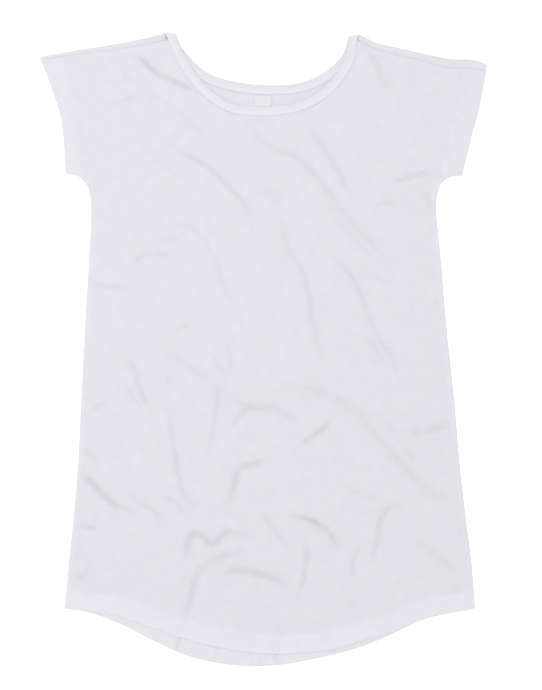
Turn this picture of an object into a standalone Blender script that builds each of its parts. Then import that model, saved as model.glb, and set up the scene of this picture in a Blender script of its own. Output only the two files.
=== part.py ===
"""T-shirt dress in cotton jersey, laid flat with its front up.

Frame: metres, +Z up. The back panel's underside is the plane z = 0, +Y runs from the hem to the
neck, and +X is the wearer's left. The origin is the middle of the outline.

The front and the back are one panel each, with the sleeves cut on. The back rolls over the top of
the shoulders and meets the front in a seam that lies in front of the fold. A ribbed band edges
the neck, hem and sleeve ends are turned up, and two small labels are sewn in.
"""
from collections import namedtuple

import bmesh
import bpy
import numpy as np

MM = 0.001

# Cloth, in millimetres
WALL = 1.0               # one layer of jersey
GAP = 0.3                # clearance between pieces at a seam, and between layers
TURN_UP = 0.7            # what the turned-up layer adds at a hem
HEM_DEPTH = 25.0
SIDE_LENGTH = 640.0      # along a side seam, hem to sleeve hem
SLEEVE_HEM_DEPTH = 27.0
BAND_WIDTH = 13.0
BAND_WALL = 1.4
LABEL_WALL = 0.5
SHOULDER_ROLL = 0.35     # inside radius of the roll over the shoulder
EDGE_DROOP = 8.0         # the front comes down to the back over this distance from a side
LOFT = 1.5               # how far the front stands off the back, clear of the edges
CUT_STEP = 3.0           # width over which a turn-up fades into one layer
LAYER_CLEARANCE = 22.0   # the front stays high this far past the back's turn-ups
FOLD_FADE = 32.0         # the folds fade out over this distance from a side,
NECK_FADE = 60.0         # and over this one from the neck
CORNER_REACH = 40.0      # the front of the neckband comes down to its corners over this

# Side outline from the hem to the sleeve tip: a row for each level, left and right side
Level = namedtuple("Level", "left_x left_y right_x right_y")
SIDE_LEVELS = [
    Level(-281, -366, 299, -366),
    Level(-275, -299, 294, -299),
    Level(-264, -185, 280, -185),
    Level(-258, -72, 270, -72),
    Level(-252, 42, 258, 42),
    Level(-247, 127, 251, 127),
    Level(-244, 190, 245, 190),
    Level(-246, 220, 246, 220),
    Level(-253, 238, 253, 236),
    Level(-265, 248, 265, 244),
    Level(-278, 251, 280, 246),
]
SLEEVE_LEVELS = [
    Level(-278, 251, 280, 246),
    Level(-282, 297, 293, 299),
    Level(-287, 332, 304, 340),
    Level(-301, 375, 311, 376),
    Level(-315, 414, 315, 404),
]

# Hem: the front's edge and the back's, which hangs a little lower in the middle
Hem = namedtuple("Hem", "x front back")
HEM = [
    Hem(-281, -366, -366.2),
    Hem(-249, -369, -371),
    Hem(-204, -377, -387),
    Hem(-146, -397, -416),
    Hem(-97, -413, -436),
    Hem(-33, -426, -447),
    Hem(18, -430, -446),
    Hem(58, -428, -440),
    Hem(99, -423, -431),
    Hem(141, -411, -419),
    Hem(178, -400, -404),
    Hem(204, -390, -391),
    Hem(236, -378, -378.5),
    Hem(299, -366, -366.2),
]

# Shoulders: the fold along the top, and how far the back rolls forward to its seam
Shoulder = namedtuple("Shoulder", "x fold roll")
LEFT_SHOULDER = [
    Shoulder(-315, 414, 5),
    Shoulder(-296, 418, 5),
    Shoulder(-261, 424, 6),
    Shoulder(-204, 433, 8),
    Shoulder(-161, 442, 9),
    Shoulder(-138, 448, 10),
]
RIGHT_SHOULDER = [
    Shoulder(134, 446, 9),
    Shoulder(146, 441, 9),
    Shoulder(162, 433, 9),
    Shoulder(194, 426, 10),
    Shoulder(229, 418, 11),
    Shoulder(265, 411, 13),
    Shoulder(295, 410, 13),
    Shoulder(315, 404, 11),
]

# Neck edge: the band's free edge at the back and at the front
Neck = namedtuple("Neck", "x back front")
NECK = [
    Neck(-124, 447, 447),
    Neck(-117, 430, 430),
    Neck(-101, 410, 399),
    Neck(-78, 391, 371),
    Neck(-45, 380, 349),
    Neck(0, 374, 344),
    Neck(45, 376, 349),
    Neck(75, 386, 363),
    Neck(98, 401, 384),
    Neck(114, 421, 410),
    Neck(120, 443, 443),
]

# Largest folds of the front: start, middle and end of the fold line, the swell on its left side
# as one walks along it, and its half width
Fold = namedtuple("Fold", "start middle end height width")
FOLDS = [
    Fold((-132, 288), (-62, 244), (-14, 168), 2.4, 15),
    Fold((-183, 421), (-130, 381), (-95, 364), 2.0, 14),
    Fold((-214, 404), (-152, 360), (-78, 292), 1.8, 15),
    Fold((-24, 320), (60, 262), (178, 122), 2.6, 17),
    Fold((68, 314), (100, 268), (124, 214), 1.8, 14),
    Fold((-160, 184), (-98, 160), (-34, 42), 2.2, 16),
    Fold((22, 184), (58, 106), (84, -10), 2.6, 16),
    Fold((92, 140), (144, 70), (196, -50), 2.4, 16),
    Fold((28, -52), (120, -84), (272, -214), 3.0, 20),
    Fold((-48, -64), (0, -84), (56, -106), 2.4, 16),
    Fold((-66, -40), (-66, -96), (-78, -142), 2.0, 15),
    Fold((-136, -76), (-124, -160), (-90, -232), 2.4, 16),
    Fold((-254, -174), (-220, -214), (-180, -230), 2.4, 15),
    Fold((-110, -294), (-76, -268), (-25, -262), 2.4, 16),
    Fold((-112, -380), (-100, -334), (-30, -284), 2.6, 17),
    Fold((-60, -318), (-18, -316), (30, -332), 2.2, 16),
    Fold((-54, -224), (-36, -180), (6, -158), 2.2, 15),
    Fold((38, -234), (80, -246), (106, -282), 2.4, 15),
    Fold((60, -274), (62, -314), (48, -356), 2.2, 15),
    Fold((204, -224), (170, -232), (154, -298), 2.2, 15),
    Fold((202, -120), (234, -114), (262, -106), 2.0, 14),
    Fold((180, 232), (222, 246), (238, 244), 2.2, 15),
]

# How finely each panel is divided
SHOULDER_STATIONS = (0.0, 0.03, 0.13, 0.16, 0.35, 0.55, 0.78, 1.0)
SHOULDER_SHARE = 0.26    # part of the hem that lies below one shoulder
NECK_COLUMNS = 20
FRONT_SIDE_ROWS = 28
BACK_SIDE_ROWS = 8
UNDERARM_SHARE = 0.11    # the top part of the side line, where it curves out to the sleeve
UNDERARM_ROWS = 6
FRONT_SLEEVE_ROWS = 9
BACK_SLEEVE_ROWS = 4
ROLL_STEPS = 5

NECK_LABEL = dict(left=-13.0, right=12.0, bottom=334.0, top=359.5)
CARE_LABEL = dict(left=234.0, right=281.0, bottom=-258.0, top=-232.0)

# Colours: red, green, blue, all linear
JERSEY = (0.80, 0.80, 0.83)
RIB = (0.82, 0.82, 0.85)
TAPE = (0.86, 0.86, 0.88)


def smooth_path(points, stations):
    """Points at the given fractions of the length of a smooth curve through all the points."""
    points = np.array(points, float)
    first = 2 * points[0] - points[1]
    last = 2 * points[-1] - points[-2]
    ring = np.vstack([first, points, last])
    fine = []
    for k in range(len(points) - 1):
        before, start, end, after = ring[k:k + 4]
        for t in np.linspace(0, 1, 12, endpoint=False):
            fine.append(0.5 * (2 * start + (end - before) * t
                               + (2 * before - 5 * start + 4 * end - after) * t ** 2
                               + (3 * start - before - 3 * end + after) * t ** 3))
    fine = np.array(fine + [points[-1]])
    length = np.concatenate([[0], np.cumsum(np.linalg.norm(np.diff(fine, axis=0), axis=1))])
    at = np.array(stations) * length[-1]
    return np.column_stack([np.interp(at, length, fine[:, axis]) for axis in (0, 1)])


def even(count):
    """Evenly spaced fractions, both ends included."""
    return np.linspace(0, 1, count + 1)


def offset_path(path, distance):
    """A path moved sideways, to the right as one walks along it."""
    along = np.gradient(path, axis=0)
    along /= np.linalg.norm(along, axis=1)[:, None]
    return path + distance * np.column_stack([along[:, 1], -along[:, 0]])


def distance_to(path, x, y):
    """Shortest distance from a point to a path of straight pieces."""
    here = np.array([x, y])
    start, step = path[:-1], np.diff(path, axis=0)
    along = np.clip(np.sum((here - start) * step, axis=1) / np.sum(step ** 2, axis=1), 0, 1)
    return float(np.min(np.linalg.norm(start + along[:, None] * step - here, axis=1)))


def ramp(value):
    """0 below 0, 1 above 1, and a soft slope between."""
    t = min(max(value, 0.0), 1.0)
    return t * t * (3 - 2 * t)


def fold_line(fold):
    """The fold's line: a quadratic curve that passes through its middle point."""
    start, middle, end = (np.array(point, float) for point in (fold.start, fold.middle, fold.end))
    handle = 2 * middle - (start + end) / 2
    t = np.linspace(0, 1, 13)[:, None]
    return (1 - t) ** 2 * start + 2 * t * (1 - t) * handle + t ** 2 * end


FOLD_LINES = [(fold, fold_line(fold)) for fold in FOLDS]


def fold_height(x, y):
    """Height that the folds add: a swell on the left of each line and a hollow on its right."""
    here = np.array([x, y])
    height = 0.0
    for fold, line in FOLD_LINES:
        nearest = int(np.argmin(np.linalg.norm(line - here, axis=1)))
        if np.linalg.norm(line[nearest] - here) > 3 * fold.width:
            continue
        along = line[min(nearest + 1, len(line) - 1)] - line[max(nearest - 1, 0)]
        along /= np.linalg.norm(along)
        away = here - line[nearest]
        side = along[0] * away[1] - along[1] * away[0]
        past_end = abs(along @ away) if nearest in (0, len(line) - 1) else 0.0
        fade = np.exp(-(past_end / fold.width) ** 2)
        swell = np.exp(-((side - 0.7 * fold.width) / fold.width) ** 2)
        hollow = 0.5 * np.exp(-((side + 0.7 * fold.width) / fold.width) ** 2)
        height += fold.height * fade * (swell - hollow)
    return height


def side_path(side, side_rows, sleeve_rows):
    """One side from the hem corner up to the sleeve tip, with a corner at the sleeve's hem."""
    body = [(getattr(row, side + "_x"), getattr(row, side + "_y")) for row in SIDE_LEVELS]
    sleeve = [(getattr(row, side + "_x"), getattr(row, side + "_y")) for row in SLEEVE_LEVELS]
    turned = np.array([0.0, HEM_DEPTH - CUT_STEP, HEM_DEPTH]) / SIDE_LENGTH
    underarm = 1 - UNDERARM_SHARE
    straight = turned[-1] + (underarm - turned[-1]) * even(side_rows)[1:]
    curved = underarm + UNDERARM_SHARE * even(UNDERARM_ROWS)[1:]
    lower = smooth_path(body, np.concatenate([turned, straight, curved]))
    upper = smooth_path(sleeve, even(sleeve_rows))
    return np.vstack([lower, upper[1:]])


def neck_edge(side, count):
    """The band's free edge, front or back, from the left corner to the right one."""
    return smooth_path([(row.x, getattr(row, side)) for row in NECK], even(count))


def top_edges(side, neck_columns, roll_share):
    """The panel's upper edge: left shoulder, neck seam, right shoulder, and its roll widths."""
    neck = offset_path(neck_edge(side, neck_columns), BAND_WIDTH + GAP)
    pieces, rolls = [], []
    for rows, stations in ((LEFT_SHOULDER, np.array(SHOULDER_STATIONS)),
                           (RIGHT_SHOULDER, 1 - np.array(SHOULDER_STATIONS)[::-1])):
        fold = smooth_path([(row.x, row.fold) for row in rows], stations)
        roll = np.interp(fold[:, 0], [row.x for row in rows], [row.roll for row in rows])
        fold[:, 1] -= roll_share * roll
        pieces.append(fold)
        rolls.append(roll)
    left, right = pieces
    neck[0, 0], neck[-1, 0] = left[-1, 0], right[0, 0]
    neck[0, 1], neck[-1, 1] = left[-1, 1], right[0, 1]
    path = np.vstack([left, neck[1:-1], right])
    roll = np.concatenate([rolls[0], np.zeros(neck_columns - 1), rolls[1]])
    return path, roll


def hem_path(side, fractions):
    """The hem edge, front or back, at fractions of its width."""
    points = [(row.x, getattr(row, side)) for row in HEM]
    return smooth_path(points, fractions)


def column_fractions(neck_columns):
    """Where the columns stand along the hem: shoulder, neck, shoulder."""
    left = np.array(SHOULDER_STATIONS) * SHOULDER_SHARE
    neck = SHOULDER_SHARE + (1 - 2 * SHOULDER_SHARE) * even(neck_columns)
    return np.concatenate([left, neck[1:-1], 1 - left[::-1]])


def fill_edges(bottom, top, left, right, across):
    """Fill four edge curves with a grid of points: a Coons patch, rows from the hem up."""
    for side, column in ((left, 0), (right, -1)):
        side[0], side[-1] = bottom[column], top[column]
    up = np.cumsum(np.concatenate([[0], np.linalg.norm(np.diff(left, axis=0), axis=1)]))
    up /= up[-1]
    s = across[None, :, None]
    t = up[:, None, None]
    edges = (1 - t) * bottom[None] + t * top[None] + (1 - s) * left[:, None] + s * right[:, None]
    corners = ((1 - s) * (1 - t) * bottom[0] + s * (1 - t) * bottom[-1]
               + (1 - s) * t * top[0] + s * t * top[-1])
    return edges - corners


LEFT_SLEEVE = smooth_path([(row.left_x, row.left_y) for row in SLEEVE_LEVELS], even(12))
RIGHT_SLEEVE = smooth_path([(row.right_x, row.right_y) for row in SLEEVE_LEVELS], even(12))
LEFT_SIDE = smooth_path([(row.left_x, row.left_y) for row in SIDE_LEVELS], even(40))
RIGHT_SIDE = smooth_path([(row.right_x, row.right_y) for row in SIDE_LEVELS], even(40))
HEM_EDGE = {side: hem_path(side, even(40)) for side in ("front", "back")}
FRONT_NECK_EDGE = neck_edge("front", 40)


def turn_up(side, x, y, spread=0.0):
    """Thickness that the turned-up layer adds near the hem and the sleeve ends.

    spread widens the step, for a surface that has to stay clear of it.
    """
    hem = ramp((HEM_DEPTH + spread - distance_to(HEM_EDGE[side], x, y)) / CUT_STEP)
    sleeve = min(distance_to(LEFT_SLEEVE, x, y), distance_to(RIGHT_SLEEVE, x, y))
    cuff = ramp((SLEEVE_HEM_DEPTH + spread - sleeve) / CUT_STEP)
    return TURN_UP * max(hem, cuff)


def back_top(x, y):
    """Upper face of the back panel."""
    return WALL + turn_up("back", x, y)


def front_underside(x, y):
    """Lower face of the front panel, resting on the back at the sides and lofted elsewhere."""
    side = min(distance_to(LEFT_SIDE, x, y), distance_to(RIGHT_SIDE, x, y))
    inside = ramp(side / EDGE_DROOP)
    folds_fade = ramp(side / FOLD_FADE) * ramp(distance_to(FRONT_NECK_EDGE, x, y) / NECK_FADE)
    deepest = LABEL_WALL + GAP - LOFT
    loft = LOFT * inside + max(fold_height(x, y), deepest) * folds_fade
    return WALL + turn_up("back", x, y, LAYER_CLEARANCE) + GAP + max(loft, 0.0)


def collection_named(name):
    group = bpy.data.collections.new(name)
    bpy.context.scene.collection.children.link(group)
    return group


def fabric(name, colour, roughness):
    """A plain cloth material."""
    material = bpy.data.materials.new(name)
    material.use_nodes = True
    shader = material.node_tree.nodes["Principled BSDF"]
    shader.inputs["Base Color"].default_value = (*colour, 1.0)
    shader.inputs["Roughness"].default_value = roughness
    shader.inputs["Metallic"].default_value = 0.0
    return material


def sheet_object(name, group, material, lower, upper, cut=None):
    """A closed wall between two grids of points, shaped rows x columns x 3.

    A grid is laid on the lower points and extruded, and the copy is moved to the upper points.
    cut(row, column) says which grid faces are left out.
    """
    rows, columns = lower.shape[0] - 1, lower.shape[1] - 1
    bm = bmesh.new()
    bmesh.ops.create_grid(bm, x_segments=columns, y_segments=rows, size=0.5)
    row_of = bm.verts.layers.int.new("row")
    column_of = bm.verts.layers.int.new("column")
    for vert in bm.verts:
        vert[row_of] = round((vert.co.y + 0.5) * rows)
        vert[column_of] = round((vert.co.x + 0.5) * columns)
    if cut:
        waste = [face for face in bm.faces
                 if cut(min(v[row_of] for v in face.verts), min(v[column_of] for v in face.verts))]
        bmesh.ops.delete(bm, geom=waste, context="FACES")
    for vert in bm.verts:
        vert.co = lower[vert[row_of], vert[column_of]] * MM
    copied = bmesh.ops.extrude_face_region(bm, geom=bm.faces[:])["geom"]
    for vert in copied:
        if isinstance(vert, bmesh.types.BMVert):
            vert.co = upper[vert[row_of], vert[column_of]] * MM
    bmesh.ops.recalc_face_normals(bm, faces=bm.faces[:])
    mesh = bpy.data.meshes.new(name)
    bm.to_mesh(mesh)
    bm.free()
    mesh.materials.append(material)
    sheet = bpy.data.objects.new(name, mesh)
    group.objects.link(sheet)
    return sheet


def with_heights(plan, height):
    """Plan points with a height from a function of x and y."""
    z = np.array([[height(x, y) for x, y in row] for row in plan])
    return np.dstack([plan, z])


def make_front(group, material):
    """Front panel with the front halves of both sleeves."""
    across = column_fractions(NECK_COLUMNS)
    top, _ = top_edges("front", NECK_COLUMNS, 1.0)
    top[:len(SHOULDER_STATIONS), 1] -= GAP
    top[-len(SHOULDER_STATIONS):, 1] -= GAP
    plan = fill_edges(hem_path("front", across), top,
                      side_path("left", FRONT_SIDE_ROWS, FRONT_SLEEVE_ROWS),
                      side_path("right", FRONT_SIDE_ROWS, FRONT_SLEEVE_ROWS), across)
    lower = with_heights(plan, front_underside)
    upper = lower.copy()
    upper[..., 2] += WALL + np.array([[turn_up("front", x, y) for x, y in row] for row in plan])
    return sheet_object("front", group, material, lower, upper)


def make_back(group, material):
    """Back panel, rolled forward over the top of both shoulders."""
    across = column_fractions(NECK_COLUMNS)
    outer_radius = SHOULDER_ROLL + WALL
    top, roll = top_edges("back", NECK_COLUMNS, 0.0)
    top[roll > 0, 1] -= outer_radius
    plan = fill_edges(hem_path("back", across), top,
                      side_path("left", BACK_SIDE_ROWS, BACK_SLEEVE_ROWS),
                      side_path("right", BACK_SIDE_ROWS, BACK_SLEEVE_ROWS), across)
    flat_rows = plan.shape[0] - 1
    lower = with_heights(plan, lambda x, y: 0.0)
    upper = with_heights(plan, back_top)
    upper[-1, :, 2] = WALL
    for layer, radius in ((lower, outer_radius), (upper, SHOULDER_ROLL)):
        rolled = []
        for turn in np.linspace(0, np.pi, ROLL_STEPS + 1)[1:]:
            arc = layer[flat_rows].copy()
            arc[:, 1] += radius * np.sin(turn)
            arc[:, 2] = outer_radius - radius * np.cos(turn)
            rolled.append(arc)
        seam = rolled[-1].copy()
        seam[:, 1] -= roll - outer_radius
        if layer is lower:
            lower = np.concatenate([lower, rolled, [seam]])
        else:
            upper = np.concatenate([upper, rolled, [seam]])
    first_neck = len(SHOULDER_STATIONS) - 1
    last_neck = len(across) - len(SHOULDER_STATIONS)

    def over_neck(row, column):
        return row >= flat_rows and first_neck <= column < last_neck

    return sheet_object("back", group, material, lower, upper, over_neck)


def make_band(name, side, group, material, underside):
    """One half of the ribbed neckband, from its free edge to its seam, corner to corner."""
    edge = neck_edge(side, NECK_COLUMNS)
    rows = [offset_path(edge, share * BAND_WIDTH) for share in (0.0, 0.06, 0.5, 0.94, 1.0)]
    rounding = (0.35, 0.0, 0.0, 0.0, 0.35)
    plan = np.array(rows)
    lower = with_heights(plan, underside)
    upper = with_heights(plan, underside)
    for row, less in enumerate(rounding):
        upper[row, :, 2] += BAND_WALL - less
    return sheet_object(name, group, material, lower, upper)


def make_label(name, size, group, material):
    """A small rectangle of woven tape on the inside of the back."""
    x, y = np.meshgrid([size["left"], size["right"]], [size["bottom"], size["top"]])
    plan = np.dstack([x, y])
    lower = with_heights(plan, lambda x, y: WALL + GAP)
    upper = with_heights(plan, lambda x, y: WALL + GAP + LABEL_WALL)
    return sheet_object(name, group, material, lower, upper)


def main():
    for leftover in list(bpy.data.objects):
        bpy.data.objects.remove(leftover, do_unlink=True)
    group = collection_named("t_shirt_dress")
    jersey = fabric("cotton jersey", JERSEY, 0.9)
    rib = fabric("cotton rib", RIB, 0.9)
    tape = fabric("woven label tape", TAPE, 0.6)
    make_back(group, jersey)
    make_front(group, jersey)
    make_band("neckband_back", "back", group, rib, lambda x, y: 0.0)
    corners = np.array([[row.x, row.front] for row in (NECK[0], NECK[-1])])

    def front_band_underside(x, y):
        from_corner = np.min(np.linalg.norm(corners - (x, y), axis=1))
        return BAND_WALL + GAP + LOFT * ramp(from_corner / CORNER_REACH)

    make_band("neckband_front", "front", group, rib, front_band_underside)
    make_label("neck_label", NECK_LABEL, group, tape)
    make_label("care_label", CARE_LABEL, group, tape)


main()
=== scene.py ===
# %% [markdown]
# # A white t-shirt dress, laid flat
#
# The dress is cut from thin cotton jersey. It has a front panel and a back panel with the sleeves
# cut on, a ribbed band round the neck, turned-up hems and two small labels. It lies on its back,
# so the camera looks straight down on the front.
#
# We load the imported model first. It fixes the size and the place of every piece, and the cloth
# that we model here takes the place of its plain solids.

# %% Load the frame
import math
from collections import namedtuple

import bmesh
import bpy
import numpy as np
from mathutils import Matrix, Vector, noise


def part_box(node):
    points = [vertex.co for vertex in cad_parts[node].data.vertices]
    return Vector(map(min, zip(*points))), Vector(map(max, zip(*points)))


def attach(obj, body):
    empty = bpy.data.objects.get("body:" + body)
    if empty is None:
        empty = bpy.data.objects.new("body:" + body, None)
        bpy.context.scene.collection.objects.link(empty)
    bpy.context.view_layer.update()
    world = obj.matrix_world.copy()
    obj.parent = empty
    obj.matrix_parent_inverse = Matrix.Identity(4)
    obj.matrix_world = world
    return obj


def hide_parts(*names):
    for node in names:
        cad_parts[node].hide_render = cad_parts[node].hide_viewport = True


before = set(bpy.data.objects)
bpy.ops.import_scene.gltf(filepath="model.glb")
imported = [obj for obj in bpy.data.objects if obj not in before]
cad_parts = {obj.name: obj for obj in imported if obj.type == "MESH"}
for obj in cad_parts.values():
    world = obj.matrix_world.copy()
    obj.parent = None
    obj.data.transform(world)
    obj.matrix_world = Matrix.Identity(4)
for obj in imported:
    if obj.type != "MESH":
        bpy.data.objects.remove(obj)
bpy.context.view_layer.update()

# %% [markdown]
# ## Sizes of the cloth
#
# All lengths in this file are millimetres until a mesh is written, because that is how a maker
# thinks of cloth. Jersey for a t-shirt is a little over half a millimetre thick. The hems are
# turned up 25 mm and the neckband is a folded strip of rib, 13 mm wide.

# %% Sizes
MM = 0.001
CLOTH = 0.6              # one layer of jersey
HEM_DEPTH = 25.0
CUFF_DEPTH = 26.0
BAND_WIDTH = 13.5
ALLOWANCE = 7.5          # seam allowance inside the side seams
FRONT_LIE = 3.9          # height of the front's upper face, clear of the edges
SEAM_LIE = 1.25          # where it meets the back at the side seams
HEM_LIE = 3.45           # the same where both hems are turned up, four layers
NECK_LIE = 2.1           # and at the neck seam, in the middle
FOLD_RADIUS = 0.55       # of the turned hem's fold
SHOULDER_RADIUS = 1.6    # outer radius of the roll over the shoulder

# %% [markdown]
# ## The outline
#
# A garment's outline is drawn like a sewing pattern: a few points on each edge, with a smooth
# line through them. Each table holds one edge. `Level` rows give the left and the right edge
# from the hem up, and the other tables run from left to right.

# %% Outline tables
Level = namedtuple("Level", "left_x left_y right_x right_y")
SIDE_LEVELS = [
    Level(-281, -366, 299, -366),
    Level(-275, -299, 294, -299),
    Level(-264, -185, 280, -185),
    Level(-258, -72, 270, -72),
    Level(-252, 42, 258, 42),
    Level(-247, 127, 251, 127),
    Level(-244, 190, 245, 190),
    Level(-246, 220, 246, 220),
    Level(-253, 236.5, 253, 236),
    Level(-265, 246, 265, 244),
    Level(-279, 249, 280, 246),
]
SLEEVE_LEVELS = [
    Level(-279, 249, 280, 246),
    Level(-282, 297, 293, 299),
    Level(-287, 332, 304, 340),
    Level(-301, 375, 311, 376),
    Level(-315, 414, 315, 404),
]

Hem = namedtuple("Hem", "x front back")
HEM = [
    Hem(-281, -366, -366.2),
    Hem(-249, -369, -371),
    Hem(-204, -377, -387),
    Hem(-146, -397, -416),
    Hem(-97, -413, -436),
    Hem(-33, -426, -447),
    Hem(18, -430, -446),
    Hem(58, -428, -440),
    Hem(99, -423, -431),
    Hem(141, -411, -419),
    Hem(178, -400, -404),
    Hem(204, -390, -391),
    Hem(236, -378, -378.5),
    Hem(299, -366, -366.2),
]

Shoulder = namedtuple("Shoulder", "x fold roll")
LEFT_SHOULDER = [
    Shoulder(-315, 414, 5),
    Shoulder(-296, 418, 5),
    Shoulder(-261, 424, 6),
    Shoulder(-204, 433, 8),
    Shoulder(-161, 442, 9),
    Shoulder(-138, 448, 10),
]
RIGHT_SHOULDER = [
    Shoulder(134, 446, 9),
    Shoulder(146, 441, 9),
    Shoulder(162, 433, 9),
    Shoulder(194, 426, 10),
    Shoulder(229, 418, 11),
    Shoulder(265, 411, 13),
    Shoulder(295, 410, 13),
    Shoulder(315, 404, 11),
]

Neck = namedtuple("Neck", "x back front")
NECK = [
    Neck(-124, 447, 447),
    Neck(-117, 430, 430),
    Neck(-101, 410, 399),
    Neck(-78, 391, 371),
    Neck(-45, 380, 349),
    Neck(0, 374, 344),
    Neck(45, 376, 349),
    Neck(75, 386, 363),
    Neck(98, 401, 384),
    Neck(114, 421, 410),
    Neck(120, 443, 443),
]

# %% [markdown]
# ## Smooth lines through a few points
#
# Blender's own curves could draw these edges, but the panels need points at chosen distances
# along them. So one function runs a smooth (Catmull-Rom) line through the points and returns
# the places that we ask for, as fractions of its length.

# %% Lines
def even(count):
    """Evenly spaced fractions, both ends included."""
    return np.linspace(0.0, 1.0, count + 1)


def smooth_line(points, stations):
    """Points at fractions of the length of a smooth line through all the points."""
    points = np.array(points, float)
    ring = np.vstack([2 * points[0] - points[1], points, 2 * points[-1] - points[-2]])
    fine = []
    for k in range(len(points) - 1):
        before, start, end, after = ring[k:k + 4]
        t = np.linspace(0, 1, 16, endpoint=False)[:, None]
        fine.append(0.5 * (2 * start + (end - before) * t
                           + (2 * before - 5 * start + 4 * end - after) * t ** 2
                           + (3 * start - before - 3 * end + after) * t ** 3))
    fine = np.vstack(fine + [points[-1:]])
    length = np.concatenate([[0], np.cumsum(np.linalg.norm(np.diff(fine, axis=0), axis=1))])
    at = np.asarray(stations) * length[-1]
    return np.column_stack([np.interp(at, length, fine[:, axis]) for axis in (0, 1)])


def line_length(line):
    return float(np.linalg.norm(np.diff(line, axis=0), axis=1).sum())


def beside(line, distance):
    """The same line moved sideways, to the right as one walks along it."""
    along = np.gradient(line, axis=0)
    along /= np.linalg.norm(along, axis=1)[:, None]
    return line + np.asarray(distance)[..., None] * np.column_stack([along[:, 1], -along[:, 0]])


def nearest_on(line, x, y):
    """For arrays of places: distance to a line, and how far along it the nearest point is, 0 to 1."""
    shape = x.shape
    here = np.column_stack([x.ravel(), y.ravel()])
    lengths = np.linalg.norm(np.diff(line, axis=0), axis=1)
    before = np.concatenate([[0], np.cumsum(lengths)])
    best = np.full(len(here), np.inf)
    along = np.zeros(len(here))
    for k, length in enumerate(lengths):
        step = line[k + 1] - line[k]
        t = np.clip((here - line[k]) @ step / length ** 2, 0, 1)
        away = np.linalg.norm(here - line[k] - t[:, None] * step, axis=1)
        closer = away < best
        best = np.where(closer, away, best)
        along = np.where(closer, (before[k] + t * length) / before[-1], along)
    return best.reshape(shape), along.reshape(shape)


def soft_step(value):
    """0 below 0, 1 above 1, and a soft slope between."""
    t = np.clip(value, 0.0, 1.0)
    return t * t * (3 - 2 * t)


LEFT_SIDE = smooth_line([(row.left_x, row.left_y) for row in SIDE_LEVELS], even(48))
RIGHT_SIDE = smooth_line([(row.right_x, row.right_y) for row in SIDE_LEVELS], even(48))
LEFT_CUFF = smooth_line([(row.left_x, row.left_y) for row in SLEEVE_LEVELS], even(16))
RIGHT_CUFF = smooth_line([(row.right_x, row.right_y) for row in SLEEVE_LEVELS], even(16))
FRONT_HEM = smooth_line([(row.x, row.front) for row in HEM], even(48))
BACK_HEM = smooth_line([(row.x, row.back) for row in HEM], even(48))
FRONT_NECK = smooth_line([(row.x, row.front) for row in NECK], even(96))
BACK_NECK = smooth_line([(row.x, row.back) for row in NECK], even(96))
NECK_SEAM = beside(FRONT_NECK, BAND_WIDTH)
LEFT_SEAM, RIGHT_SEAM = (smooth_line([(row.x, row.fold - row.roll) for row in rows], even(24))
                         for rows in (LEFT_SHOULDER, RIGHT_SHOULDER))
print("side seam %.0f mm, front hem %.0f mm, neck edge %.0f mm"
      % (line_length(LEFT_SIDE), line_length(FRONT_HEM),
         line_length(FRONT_NECK) + line_length(BACK_NECK)))
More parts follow.
